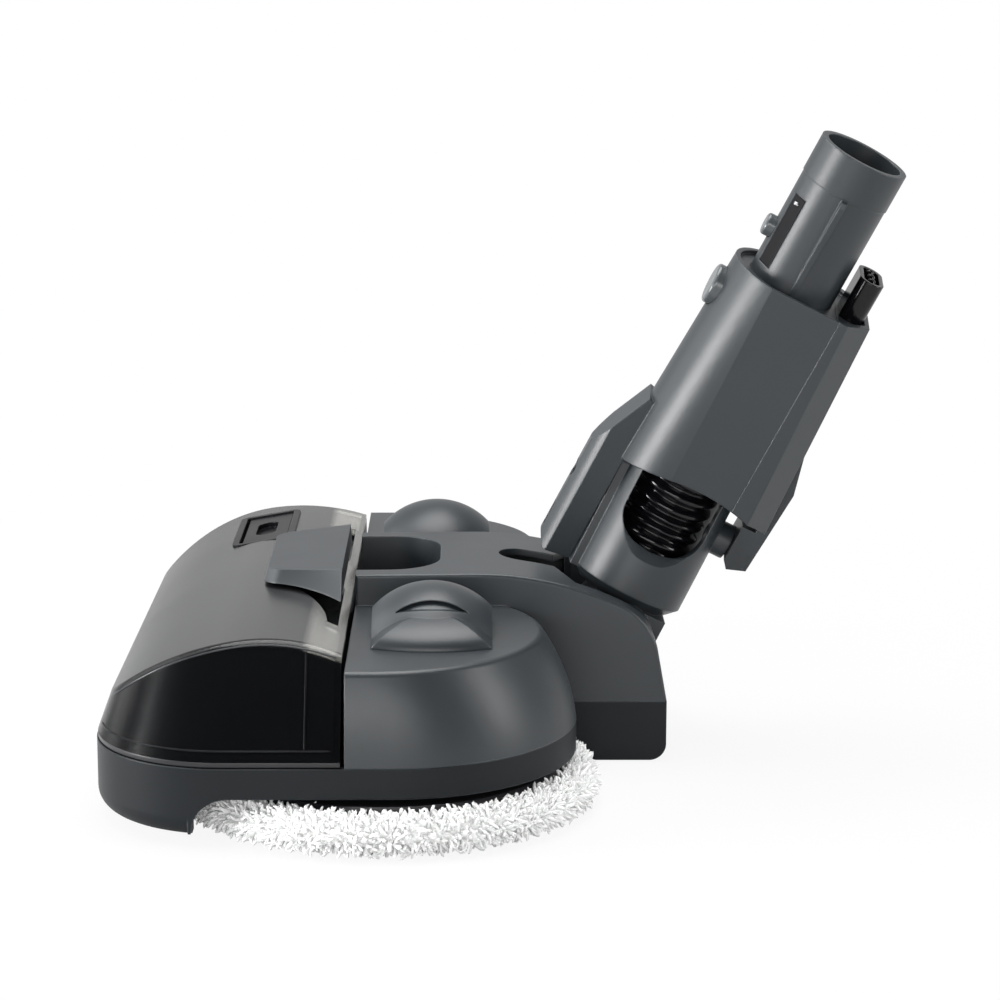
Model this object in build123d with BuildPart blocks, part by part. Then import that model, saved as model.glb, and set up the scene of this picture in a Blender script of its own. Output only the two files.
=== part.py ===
"""Wet and dry floor scrubber head: twin rotating mop pads, a smoked front tank and a jointed neck.

Millimetres. +X points to the rear, -X to the front of the head, +Y to the far side, +Z up.
The origin is on the floor, under the middle of the box that holds the whole object.
"""

import os
from math import atan2, cos, pi, radians, sin, sqrt, tan

from build123d import *

os.makedirs("parts", exist_ok=True)

# Driving dimensions of the head
front_x = -137.0  # front face of the tank and tray
split_x = -52.0  # plane where the tank meets the body
body_half = 133.0  # half width at the seam
corner_r = 45.0  # plan radius of the two front corners
wall = 2.5  # moulded wall
tray_low = 16.5  # underside of the tray over the pads
seam_z = 26.8  # seam between tray and upper cover
rear_seam_z = 22.5  # the same seam behind the pads
foot_z = 3.0  # underside of the nose
tail_z = 0.8  # underside of the tail block
step_x = 16.0  # the seam drops to its rear height here
deck_z = 57.5  # flat top of the side pods
tail_x = 58.5  # rear face of the spine
spine_half = 36.0  # half width of the spine
spine_z = 69.0  # top of the spine

# Driving dimensions of the rotating pads
disc_x = -40.0
disc_y = 75.0
pad_r = 72.5
pad_room = 77.0  # radius kept free round each pad
plate_r = 60.0
pod_x = -38.0
pod_y = 70.0
pod_r = 63.0

# Gear train of each pad: a pinion on the motor under the dome drives a wheel on the spindle
module_mm = 0.8
pinion_teeth = 20
wheel_teeth = 21
gear_low = 31.0
gear_thick = 6.0
backlash = 0.18
mesh_gap = module_mm * (pinion_teeth + wheel_teeth) / 2
dome_x = -24.4  # the dome and its motor stand behind and inboard of the spindle
dome_y = disc_y - sqrt(mesh_gap**2 - (dome_x - disc_x) ** 2)

# Driving dimensions of the neck
lean = 26.5  # lean of the neck behind the vertical, in degrees
swing = 11.0  # swing of the upper neck to the near side, in degrees
pitch_at = (40.5, 0.0, 41.0)  # pitch axis, along Y
swivel_up = 47.0  # swivel axis above the pitch axis, along the neck
tube_r = 16.25  # outside of the spigot's tip, which enters the wand
stem_r = tube_r - 0.3  # outside of the spigot below its tip
tube_bore = 14.0
tube_x = -2.7  # axis of hose, knuckle and spigot before the pitch axis, in the neck's own x
run_gap = 0.05  # radial clearance of pins in their holes


# Planes of the neck: local x points to the rear, local y to the far side, local z up the neck
lean_dir = Vector(sin(radians(lean)), 0, cos(radians(lean)))
rear_dir = Vector(cos(radians(lean)), 0, -sin(radians(lean)))
knuckle_plane = Plane(origin=pitch_at, x_dir=rear_dir, z_dir=lean_dir)
swivel_at = knuckle_plane.from_local_coords(Vector(0, 0, swivel_up))
up_dir = lean_dir * cos(radians(swing)) - Vector(0, 1, 0) * sin(radians(swing))
upper_plane = Plane(origin=swivel_at, x_dir=rear_dir, z_dir=up_dir)


def side_of(plane):
    """The plane's own x-z plane, so that profiles are drawn rearward and up."""
    return Plane(origin=plane.origin, x_dir=plane.x_dir, z_dir=-plane.y_dir)


def rearward(plane, distance, up=0.0):
    """A plane square to the local x axis, so that pins and bosses run front to rear."""
    origin = plane.from_local_coords(Vector(distance, 0, up))
    return Plane(origin=origin, x_dir=plane.y_dir, z_dir=plane.x_dir)


def keep(builder, name):
    """Label a finished piece and write it to its own file."""
    builder.part.label = name
    export_step(builder.part, f"parts/{name}.step")


sides = {"near": -1, "far": 1}


# Plan outlines of the head, as flat sketches at a given inset from the outside
def front_outline(plane, half, nose, radius, rear):
    """A rectangle with two rounded front corners."""
    with BuildSketch(plane) as plan:
        with BuildLine():
            Line((rear, half), (nose + radius, half))
            RadiusArc((nose + radius, half), (nose, half - radius), -radius)
            Line((nose, half - radius), (nose, radius - half))
            RadiusArc((nose, radius - half), (nose + radius, -half), -radius)
            Line((nose + radius, -half), (rear, -half))
            Line((rear, -half), (rear, half))
        make_face()
    return plan.sketch


def front_plan(inset, rear=split_x):
    """Tank and nose at the seam."""
    return front_outline(Plane.XY, body_half - inset, front_x + inset, corner_r - inset, rear)


def head_plan(inset):
    """Tray: the front plan, the two pods and the spine."""
    half = body_half - inset
    rear = tail_x - inset
    with BuildSketch() as plan:
        add(front_plan(inset))
        with Locations(((split_x + pod_x) / 2 - 1, 0)):
            Rectangle(pod_x - split_x + 2, 2 * half)
        with Locations((pod_x, pod_y), (pod_x, -pod_y)):
            Circle(pod_r - inset)
        with Locations(((split_x + rear) / 2, 0)):
            Rectangle(rear - split_x, 2 * (spine_half - inset))
    return plan.sketch


def low_plan(inset):
    """What reaches down to the floor: the nose in front of the pads and the block behind them."""
    with BuildSketch() as plan:
        add(head_plan(inset))
        with Locations((disc_x, disc_y), (disc_x, -disc_y)):
            Circle(pad_room + inset, mode=Mode.SUBTRACT)
        with Locations((disc_x, 0)):
            Rectangle(2 * (middle_half + inset), 2 * body_half, mode=Mode.SUBTRACT)
    return plan.sketch


# Tray: the lower moulding, with a nose and a tail block that reach down between the pads
middle_half = 62.0  # no low stretch this far before or behind the spindles
nose_round = 7.0  # radius under the front edge
arch_r = 12.0  # radius where the nose rises over the pads
tail_round = 6.0
low_floor = 8.5  # inside floor of the nose and the tail
intake_x = -124.0
intake_long = 150.0
intake_wide = 10.0
roller_x = 46.0
roller_r = 6.5
roller_half = 17.0
roller_pin_r = 1.5
spindle_r = 4.0
bush_r = 8.0
bush_low = tray_low
bush_high = 27.0
floor_z = tray_low + wall
drip_y = 30.0  # water outlets beside the spine, over the inner edge of each pad
drip_r = 2.2
tray_screws = [
    (x, side * y, z)
    for x, y, z in ((-44.0, 124.0, tray_low), (-5.0, 112.0, tray_low), (34.0, 28.0, tail_z))
    for side in (-1, 1)
]
screw_r = 1.5
head_r = 3.0
head_high = 1.5
notch_x = -113.5
notch_y = 84.0


def low_part(low, front):
    """The nose, or the tail where front is false, from its underside to the seam."""
    with BuildPart() as block:
        with BuildSketch(Plane.XY.offset(low)):
            add(low_plan(0))
            with Locations((disc_x + (-100 if front else 100), 0)):
                Rectangle(200, 3 * body_half, mode=Mode.INTERSECT)
        extrude(amount=seam_z - low)
        rim = block.edges().filter_by_position(Axis.Z, low - 0.1, low + 0.1)
        if front:
            fillet(rim.sort_by(Axis.X)[0:3], nose_round)
        else:
            fillet(rim.sort_by(Axis.X)[-1], tail_round)
    return block.part


def nose_arches():
    """The hollow curve from the rear of the nose up to the underside of the tray, at both sides."""
    rear = disc_x - middle_half
    with BuildPart() as block:
        with BuildSketch(Plane.XZ):
            with BuildLine():
                Line((rear - 1, tray_low + 1), (rear - 1, tray_low - arch_r))
                Line((rear - 1, tray_low - arch_r), (rear, tray_low - arch_r))
                RadiusArc((rear, tray_low - arch_r), (rear + arch_r, tray_low), arch_r)
                Line((rear + arch_r, tray_low), (rear + arch_r, tray_low + 1))
                Line((rear + arch_r, tray_low + 1), (rear - 1, tray_low + 1))
            make_face()
        extrude(amount=body_half, both=True)
        with BuildSketch():
            add(head_plan(0))
            Rectangle(4 * body_half, 2 * (body_half - 11), mode=Mode.SUBTRACT)
        extrude(amount=seam_z, mode=Mode.INTERSECT)
    return block.part


with BuildPart() as tray:
    with BuildSketch(Plane.XY.offset(tray_low)):
        add(head_plan(0))
    extrude(amount=seam_z - tray_low)
    add(low_part(foot_z, True))
    add(low_part(tail_z, False))
    add(nose_arches())
    # The hollow of the tray, open upward
    with BuildSketch(Plane.XY.offset(floor_z)):
        add(head_plan(wall))
    extrude(amount=seam_z - floor_z, mode=Mode.SUBTRACT)
    with BuildSketch(Plane.XY.offset(low_floor)):
        add(low_plan(wall))
    extrude(amount=seam_z - low_floor, mode=Mode.SUBTRACT)
    # Block that carries the rear roller, and the walls of the suction slot
    with Locations((roller_x, 0, foot_z)):
        Box(2 * roller_r + 7, 2 * spine_half - 4, 13, align=(Align.CENTER, Align.CENTER, Align.MIN))
    with Locations((intake_x, 0, foot_z)):
        Box(
            intake_wide + 2 * wall,
            intake_long + 2 * wall,
            floor_z - foot_z,
            align=(Align.CENTER, Align.CENTER, Align.MIN),
        )
    # The cover hangs lower behind the pads
    with Locations(((tail_x + step_x) / 2, 0, seam_z)):
        Box(tail_x - step_x + 1, 2 * spine_half + 1, 2 * (seam_z - rear_seam_z), mode=Mode.SUBTRACT)
    # Suction slot through the nose, and the pocket of the rear roller
    with Locations((intake_x, 0, floor_z - 10)):
        Box(intake_wide, intake_long, 40, mode=Mode.SUBTRACT)
    with Locations((roller_x, 0, foot_z)):
        Box(2 * roller_r + 3, 2 * roller_half + 2, 4 * roller_r - 3, mode=Mode.SUBTRACT)
    with Locations(Plane(origin=(roller_x, 0, roller_r), z_dir=(0, 1, 0))):
        Cylinder(roller_pin_r, 2 * roller_half + 16, mode=Mode.SUBTRACT)
    # Seats of the spindle bushes and holes for the drip nozzles
    with Locations((disc_x, disc_y, tray_low), (disc_x, -disc_y, tray_low)):
        Cylinder(bush_r, 20, mode=Mode.SUBTRACT)
    with Locations((disc_x, drip_y, tray_low), (disc_x, -drip_y, tray_low)):
        Cylinder(drip_r, 20, mode=Mode.SUBTRACT)
    with Locations(*tray_screws):
        Cylinder(screw_r, 60, mode=Mode.SUBTRACT)
        Cylinder(head_r, 2 * head_high, mode=Mode.SUBTRACT)
    # Air notches under the nose, beside each front foot
    with Locations((notch_x, notch_y, foot_z), (notch_x, -notch_y, foot_z)):
        Box(6, 60, 3, mode=Mode.SUBTRACT)
keep(tray, "tray")

with BuildPart() as tray_screw_group:
    with Locations(*tray_screws):
        Cylinder(head_r, head_high, align=(Align.CENTER, Align.CENTER, Align.MIN))
        Cylinder(screw_r, 9.0, align=(Align.CENTER, Align.CENTER, Align.MIN))
keep(tray_screw_group, "tray_screws")


# Upper cover: the two pods and the spine, one hollow moulding over the tray
deck_x = -44.0  # centre of the pod's top outline
deck_r = 57.0
belly_z = 44.0  # the pod's side bulges a little at this height
belly_x = -40.3
belly_r = 60.8
pod_inner = 20.0  # pods run inside the spine to this half width
slot_front = -1.0  # front end of the slot that lets the neck stand upright
slot_half = 9.5
cheek_x = 19.0  # the slot flares from here to the width of the well
cheek_half = 27.0
tail_open_z = 20.0
pocket_long = 29.8  # finger pocket behind the tank's handle
pocket_half = 28.0
pocket_low = 52.0
pocket_r = 18.0
duct_z = 38.0
duct_r = 10.5
duct_bore = 8.5
motor_hole_r = 13.0
dome_low = 46.4  # centre of the round dome cap, below the deck
pivot_r = 5.0
pivot_reach = 33.0  # depth of the pivot seats in the cheeks, from the middle


def pod_plan(z, side, centre_x, radius, inset):
    """One pod: straight front and side, and a round rear."""
    outer = side * (pod_y + radius - inset)
    inner = side * pod_inner
    reach = sqrt((radius - inset) ** 2 - (pod_y - pod_inner) ** 2)
    shoulder = (radius - inset) * cos(radians(20))
    front = split_x + inset
    with BuildSketch(Plane.XY.offset(z)) as plan:
        with BuildLine():
            Line((front, inner), (front, outer))
            Line((front, outer), (centre_x, outer))
            ThreePointArc(
                (centre_x, outer),
                (centre_x + shoulder, side * (pod_y + (radius - inset) * sin(radians(20)))),
                (centre_x + reach, inner),
            )
            Line((centre_x + reach, inner), (front, inner))
        make_face()
    return plan.sketch


def pod_block(side, inset):
    """A pod's outside, or its hollow where inset is not zero."""
    with BuildPart() as block:
        loft(
            [
                pod_plan(seam_z, side, pod_x, pod_r, inset),
                pod_plan(belly_z, side, belly_x, belly_r, inset),
                pod_plan(deck_z - inset, side, deck_x, deck_r, inset),
            ]
        )
    return block.part


def spine_block(inset):
    """The spine's side profile, carried across its width."""
    front = split_x + inset
    rear = tail_x - inset
    top = spine_z - inset
    low = rear_seam_z - (1 if inset else 0)
    with BuildPart() as block:
        with BuildSketch(Plane.XZ):
            with BuildLine():
                Line((front, seam_z), (front, top - 0.4))
                ridge = Line((front, top - 0.4), (-10, top))
                back = TangentArc((-10, top), (42 - inset / 2, top - 11.5), tangent=ridge % 1)
                fall = TangentArc(
                    (42 - inset / 2, top - 11.5), (rear - 3.5, top - 27), tangent=back % 1
                )
                Line(fall @ 1, (rear, low))
                Line((rear, low), (step_x + inset, low))
                Line((step_x + inset, low), (step_x + inset, seam_z))
                Line((step_x + inset, seam_z), (front, seam_z))
            make_face()
        extrude(amount=spine_half - inset, both=True)
    return block.part


def cheek_block():
    """The solid rear of the spine, which the well of the neck leaves as two cheeks."""
    with BuildPart() as block:
        add(spine_block(0))
        with Locations((tail_x - 17, 0, spine_z / 2)):
            Box(36, 2 * spine_half - 1, spine_z, mode=Mode.INTERSECT)
    return block.part


def pocket_plan(outset, ahead):
    """The finger pocket's outline, reaching a little ahead of the body's front."""
    front = split_x - ahead
    rear = split_x + pocket_long + outset
    with BuildSketch() as plan:
        with Locations(((front + rear) / 2, 0)):
            Rectangle(rear - front, 2 * (pocket_half + outset))
        fillet(plan.vertices().group_by(Axis.X)[-1], pocket_r + outset)
    return plan.sketch


with BuildPart() as cover:
    add(spine_block(0))
    for side in sides.values():
        add(pod_block(side, 0))
    deck_edges = cover.edges().filter_by_position(Axis.Z, deck_z - 0.1, deck_z + 0.1)
    deck_rims = deck_edges.filter_by(lambda edge: abs(edge.center().Y) > spine_half + 1)
    fillet(deck_rims.filter_by(lambda edge: edge.center().X > split_x + 1), 2.5)
    spine_rims = cover.edges().filter_by_position(Axis.Y, spine_half - 0.1, spine_half + 0.1)
    spine_rims += cover.edges().filter_by_position(Axis.Y, -spine_half - 0.1, -spine_half + 0.1)
    fillet(spine_rims.filter_by_position(Axis.Z, deck_z + 1, spine_z + 1), 1.2)
    add(spine_block(wall), mode=Mode.SUBTRACT)
    for side in sides.values():
        add(pod_block(side, wall), mode=Mode.SUBTRACT)
    add(cheek_block())
    # Slot and well of the neck
    with BuildSketch(Plane.XY.offset(tail_open_z)):
        with Locations(((slot_front + cheek_x) / 2 + 6, 0)):
            SlotOverall(cheek_x - slot_front + 12, 2 * slot_half)
        with BuildLine():
            Polyline(
                (cheek_x, -slot_half),
                (cheek_x + 7, -cheek_half),
                (tail_x + 1, -cheek_half),
                (tail_x + 1, cheek_half),
                (cheek_x + 7, cheek_half),
                (cheek_x, slot_half),
                close=True,
            )
        make_face()
    extrude(amount=spine_z, mode=Mode.SUBTRACT)
    # Finger pocket: a closed tub with round rear corners, open to the tank
    with BuildSketch(Plane.XY.offset(pocket_low - wall)):
        add(pocket_plan(wall, 0))
    extrude(amount=spine_z - 1 - pocket_low + wall)
    with BuildSketch(Plane.XY.offset(pocket_low)):
        add(pocket_plan(0, 1))
    extrude(amount=spine_z, mode=Mode.SUBTRACT)
    # Mouth of the air duct in the front wall, holes for the motors and for the pitch pins
    with Locations(Plane(origin=(split_x, 0, duct_z), z_dir=(1, 0, 0))):
        Cylinder(duct_bore, 20, mode=Mode.SUBTRACT)
    with Locations((dome_x, dome_y, deck_z), (dome_x, -dome_y, deck_z)):
        Cylinder(motor_hole_r, 2 * (deck_z - dome_low), mode=Mode.SUBTRACT)
    with Locations(Plane(origin=pitch_at, z_dir=(0, 1, 0))):
        Cylinder(pivot_r, 2 * pivot_reach, mode=Mode.SUBTRACT)
keep(cover, "upper_cover")


# Motor domes: a round cap with two flat sides, over a skirt that bulges down to the deck
dome_r = 27.6
dome_half = 20.4
skirt_edge = 31.9  # foot of the skirt, outboard of the dome's axis
skirt_r = 47.0  # plan radius of the foot
skirt_bulge = 12.6  # height of the swelling at its own centre
skirt_top = 67.0
cap_wall = 2.0
vent_half = 12.5
vent_end_z = 66.5
vent_top_z = 70.6
vent_low_z = 68.1
vent_deep = 1.2


def dome_cap(side, inset):
    """The round cap between its flat sides, down to the deck."""
    with BuildPart() as cap:
        with Locations((dome_x, side * dome_y, dome_low)):
            Sphere(dome_r - inset)
        with Locations((dome_x, side * dome_y, deck_z)):
            Box(
                2 * (dome_half - inset),
                2 * dome_r,
                dome_r,
                align=(Align.CENTER, Align.CENTER, Align.MIN),
                mode=Mode.INTERSECT,
            )
    return cap.part


def dome_skirt(side):
    """An arched vault that ends in a swelling surface of revolution."""
    with BuildPart() as skirt:
        with BuildSketch(Plane.XZ.offset(-side * dome_y)):
            with BuildLine():
                left = (dome_x - dome_half, deck_z)
                right = (dome_x + dome_half, deck_z)
                ThreePointArc(left, (dome_x, skirt_top), right)
                Line(right, left)
            make_face()
        extrude(amount=-side * skirt_edge)
        swell_at = (dome_x, side * (dome_y + skirt_edge - skirt_r), deck_z)
        with BuildSketch(Plane(origin=swell_at, x_dir=(1, 0, 0), z_dir=(0, -1, 0))) as quarter:
            Ellipse(skirt_r, skirt_bulge)
            Rectangle(skirt_r, skirt_bulge, align=Align.MIN, mode=Mode.INTERSECT)
        revolve(quarter.sketch, axis=Axis(swell_at, (0, 0, 1)), mode=Mode.INTERSECT)
    return skirt.part


def vent_cut(side):
    """The arched vent: a shallow step in the outboard wall of the cap."""
    with BuildPart() as cut:
        with BuildSketch(Plane.XZ.offset(-side * dome_y)):
            with BuildLine():
                left = (dome_x - vent_half, vent_end_z)
                right = (dome_x + vent_half, vent_end_z)
                ThreePointArc(left, (dome_x, vent_top_z), right)
                ThreePointArc(right, (dome_x, vent_low_z), left)
            make_face()
        extrude(amount=-side * dome_r)
        add(dome_cap(side, vent_deep), mode=Mode.SUBTRACT)
    return cut.part


for side_name, side in sides.items():
    with BuildPart() as dome:
        add(dome_cap(side, 0))
        add(dome_skirt(side))
        add(dome_cap(side, cap_wall), mode=Mode.SUBTRACT)
        add(vent_cut(side), mode=Mode.SUBTRACT)
    keep(dome, f"{side_name}_dome")


# Drive of each pad: spindle, bush, wheel, pinion and motor
def gear_plan(teeth, centre, phase, bore):
    """A spur gear with stub teeth; each flank is an arc through three points of its involute."""
    pitch_r = module_mm * teeth / 2
    base_r = pitch_r * cos(radians(20))
    tip_r = pitch_r + 0.8 * module_mm
    root_r = pitch_r - 1.1 * module_mm
    start_r = max(base_r, root_r)
    half_tooth = (pi * module_mm / 2 - backlash / 2) / (2 * pitch_r)
    pitch_roll = tan(radians(20)) - radians(20)

    def flank(radius, tooth, hand):
        roll = sqrt(max(radius**2 / base_r**2 - 1, 0))
        spread = half_tooth + pitch_roll - (roll - atan2(roll, 1))
        turn = phase + 2 * pi * tooth / teeth + hand * spread
        return (centre[0] + radius * cos(turn), centre[1] + radius * sin(turn))

    def root(tooth, hand):
        spread = half_tooth + pitch_roll
        turn = phase + 2 * pi * tooth / teeth + hand * spread
        return (centre[0] + root_r * cos(turn), centre[1] + root_r * sin(turn))

    middle_r = (start_r + tip_r) / 2
    with BuildSketch(Plane.XY.offset(gear_low)) as plan:
        with BuildLine():
            for tooth in range(teeth):
                Line(root(tooth, -1), flank(start_r, tooth, -1))
                ThreePointArc(
                    flank(start_r, tooth, -1), flank(middle_r, tooth, -1), flank(tip_r, tooth, -1)
                )
                Line(flank(tip_r, tooth, -1), flank(tip_r, tooth, 1))
                ThreePointArc(
                    flank(tip_r, tooth, 1), flank(middle_r, tooth, 1), flank(start_r, tooth, 1)
                )
                Line(flank(start_r, tooth, 1), root(tooth, 1))
                Line(root(tooth, 1), root(tooth + 1, -1))
        make_face()
        with Locations(centre):
            Circle(bore, mode=Mode.SUBTRACT)
    return plan.sketch


plate_low = 10.0
plate_thick = 4.3
hub_r = 11.0
hub_top = tray_low - 0.4
pad_top = 13.0
pad_rim = plate_r + 0.8
spindle_top = gear_low + gear_thick + 4.0
shaft_r = 1.5
motor_low = gear_low + gear_thick + 1.5
motor_top = 67.0
motor_r = 11.5

for side_name, side in sides.items():
    spin_at = (disc_x, side * disc_y)
    motor_at = (dome_x, side * dome_y)
    toward = atan2(side * (dome_y - disc_y), dome_x - disc_x)

    with BuildPart() as spindle:
        with BuildSketch(Plane.XY.offset(plate_low)):
            with Locations(spin_at):
                Circle(spindle_r)
        extrude(amount=spindle_top - plate_low)
        chamfer(spindle.edges().sort_by(Axis.Z)[-1], 0.6)
    keep(spindle, f"{side_name}_spindle")

    with BuildPart() as bush:
        with BuildSketch(Plane.XY.offset(bush_low)):
            with Locations(spin_at):
                Circle(bush_r)
                Circle(spindle_r + run_gap, mode=Mode.SUBTRACT)
        extrude(amount=bush_high - bush_low)
        with BuildSketch(Plane.XY.offset(floor_z)):
            with Locations(spin_at):
                Circle(bush_r + 3)
                Circle(bush_r, mode=Mode.SUBTRACT)
        extrude(amount=2.0)
    keep(bush, f"{side_name}_bush")

    with BuildPart() as wheel:
        add(gear_plan(wheel_teeth, spin_at, toward, spindle_r))
        extrude(amount=gear_thick)
        with BuildSketch(Plane.XY.offset(gear_low - 2.5)):
            with Locations(spin_at):
                Circle(spindle_r + 3)
                Circle(spindle_r, mode=Mode.SUBTRACT)
        extrude(amount=2.5)
    keep(wheel, f"{side_name}_wheel_gear")

    with BuildPart() as pinion:
        add(gear_plan(pinion_teeth, motor_at, toward + pi + pi / pinion_teeth, shaft_r))
        extrude(amount=gear_thick)
        with BuildSketch(Plane.XY.offset(gear_low)):
            with Locations(motor_at):
                Circle(shaft_r)
        extrude(amount=motor_low - gear_low + 6)
    keep(pinion, f"{side_name}_pinion")

    with BuildPart() as motor:
        with BuildSketch(Plane.XY.offset(motor_low)):
            with Locations(motor_at):
                Circle(motor_r)
        extrude(amount=motor_top - motor_low)
        fillet(motor.edges().group_by(Axis.Z)[-1], 1.5)
        with Locations((motor_at[0], motor_at[1], motor_low)):
            Cylinder(shaft_r + run_gap, 14, mode=Mode.SUBTRACT)
    keep(motor, f"{side_name}_motor")

    with BuildPart() as plate:
        with BuildSketch(Plane.XY.offset(plate_low)):
            with Locations(spin_at):
                Circle(plate_r)
        extrude(amount=plate_thick)
        chamfer(plate.edges().group_by(Axis.Z)[-1], 1.2)
        with BuildSketch(Plane.XY.offset(plate_low)):
            with Locations(spin_at):
                Circle(hub_r)
        extrude(amount=hub_top - plate_low)
        with BuildSketch(Plane.XY.offset(plate_low)):
            with Locations(spin_at):
                Circle(spindle_r)
        extrude(amount=plate_thick * 2, mode=Mode.SUBTRACT)
    keep(plate, f"{side_name}_pad_plate")

    # The pad is crowned at its rim, where the pile stands up round the plate
    with BuildPart() as pad:
        with BuildSketch(Plane(origin=(spin_at[0], spin_at[1], 0), x_dir=(1, 0, 0), z_dir=(0, -1, 0))):
            with BuildLine():
                Line((0, 0), (pad_r - 4, 0))
                ThreePointArc((pad_r - 4, 0), (pad_r, pad_top / 2), (pad_r - 4, pad_top))
                Line((pad_r - 4, pad_top), (pad_rim, pad_top))
                Line((pad_rim, pad_top), (pad_rim, plate_low))
                Line((pad_rim, plate_low), (0, plate_low))
                Line((0, plate_low), (0, 0))
            make_face()
        revolve(axis=Axis((spin_at[0], spin_at[1], 0), (0, 0, 1)))
    keep(pad, f"{side_name}_mop_pad")


# Tank: a dark tub that nests in the tray, and a smoked shell that stands on the tub's flange
tank_gap = 0.4  # clearance of the lifted tank to the tray and cover
tank_rear = split_x - 1.4  # the shadow gap between tank and body
flange_low = seam_z + tank_gap
shell_low = flange_low + 1.6
tub_low = floor_z + tank_gap
tub_inset = wall + tank_gap
tank_top = 64.0
crown_x = -79.0  # the top is one arc from the brow over this place to the rear
tank_rear_z = 59.6
brow_run = 3.8
brow_z = 40.0
draft_high = 42.0  # the sides lean in over this height
side_run = 27.0
nose_run = 15.0
corner_run = 12.0
shoulder_r = 3.4
shell_wall = 2.4
divider_x = -68.0
divider_thick = 4.0
riser_high = 42.0


def tank_plan(share, inset):
    """The shell's outline, from its foot at share 0 to the narrower outline at share 1."""
    half = body_half - tank_gap - inset - side_run * share
    nose = front_x + tank_gap + inset + nose_run * share
    radius = corner_r - inset - corner_run * share
    return front_outline(Plane.XY.offset(shell_low + draft_high * share), half, nose, radius, split_x + 40)


def tank_block(inset):
    """The shell's outside, or its hollow: leaning sides under an arched profile."""
    with BuildPart() as block:
        loft([tank_plan(0, inset), tank_plan(1, inset)], ruled=True)
        with BuildSketch(Plane.XZ):
            with BuildLine():
                nose_x = front_x + inset
                brow = (nose_x + brow_run, brow_z)
                rear = tank_rear - inset
                Line((nose_x, shell_low), brow)
                crown = ThreePointArc(brow, (crown_x, tank_top - inset), (rear, tank_rear_z - inset))
                Line(crown @ 1, (rear, shell_low))
                Line((rear, shell_low), (nose_x, shell_low))
            make_face()
        extrude(amount=body_half + 1, both=True, mode=Mode.INTERSECT)
        creases = block.edges().filter_by(lambda edge: abs(edge.center().Y) > 95)
        creases = creases.filter_by(lambda edge: edge.center().Z > 50 and edge.center().X < tank_rear - 8)
        fillet(creases, shoulder_r - inset)
    return block.part


well_low = 56.8  # floor of the finger wells under both ends of the grip


def grip_wells(outset):
    """Two wells that open the top of the tank beside the grip."""
    rear = tank_rear - shell_wall - 0.4
    with BuildPart() as wells:
        with BuildSketch(Plane.XY.offset(well_low - outset)):
            for side in sides.values():
                with BuildLine():
                    ThreePointArc((-83, side * 22), (-67, side * 46), (-60, side * 76))
                    Line((-60, side * 76), (rear, side * 78))
                    Line((rear, side * 78), (rear, side * 22))
                    Line((rear, side * 22), (-83, side * 22))
                make_face()
            if outset:
                offset(amount=outset)
        extrude(amount=tank_top)
    return wells.part


# Filler opening on the far side of the tank's top, square to the slope there
filler_tilt = radians(10)
filler_plane = Plane(
    origin=(-90.5, 71.5, 62.0),
    x_dir=(cos(filler_tilt), 0, sin(filler_tilt)),
    z_dir=(-sin(filler_tilt), 0, cos(filler_tilt)),
)
filler_long = 52.0
filler_wide = 24.0
filler_rim = 2.6

with BuildPart() as shell_skin:
    add(tank_block(0))
    add(tank_block(shell_wall), mode=Mode.SUBTRACT)

with BuildPart() as tank_shell:
    add(grip_wells(shell_wall))
    add(tank_block(0), mode=Mode.INTERSECT)
    add(shell_skin)
    add(grip_wells(0), mode=Mode.SUBTRACT)
    with BuildSketch(filler_plane.offset(-12)):
        RectangleRounded(filler_wide, filler_long, 4)
    extrude(amount=24, mode=Mode.SUBTRACT)
    with Locations(Plane(origin=(tank_rear, 0, duct_z), z_dir=(1, 0, 0))):
        Cylinder(duct_bore, 20, mode=Mode.SUBTRACT)
keep(tank_shell, "tank_shell")

with BuildPart() as tank_tub:
    with BuildSketch(Plane.XY.offset(tub_low)):
        add(front_plan(tub_inset, tank_rear - 3))
    extrude(amount=flange_low - tub_low)
    with BuildSketch(Plane.XY.offset(flange_low)):
        add(front_plan(tank_gap, tank_rear))
    extrude(amount=shell_low - flange_low)
    with BuildSketch(Plane.XY.offset(tub_low + 2)):
        add(front_plan(tub_inset + 2, tank_rear - 5))
    extrude(amount=shell_low, mode=Mode.SUBTRACT)
    with Locations((intake_x, 0, tub_low)):
        Box(intake_wide - 2, intake_long - 10, 10, mode=Mode.SUBTRACT)
keep(tank_tub, "tank_tub")

with BuildPart() as riser:
    with BuildSketch(Plane.XY.offset(tub_low + 2)):
        with Locations((intake_x, 0)):
            Rectangle(intake_wide + 1, intake_long - 6)
            Rectangle(intake_wide - 2, intake_long - 10, mode=Mode.SUBTRACT)
    extrude(amount=riser_high - tub_low - 8)
    with Locations((intake_x, 0, riser_high - 6)):
        Box(intake_wide + 2, 40, 9, align=(Align.CENTER, Align.CENTER, Align.MAX), mode=Mode.SUBTRACT)
keep(riser, "inlet_riser")

with BuildPart() as divider:
    add(tank_block(shell_wall + 0.3))
    with Locations((divider_x, 0, tank_top / 2)):
        Box(divider_thick, 2 * body_half, tank_top, mode=Mode.INTERSECT)
    with Locations((divider_x, 0, tank_top)):
        Box(10, 60, 24, mode=Mode.SUBTRACT)
    add(grip_wells(shell_wall + 0.3), mode=Mode.SUBTRACT)
keep(divider, "tank_divider")


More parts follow.
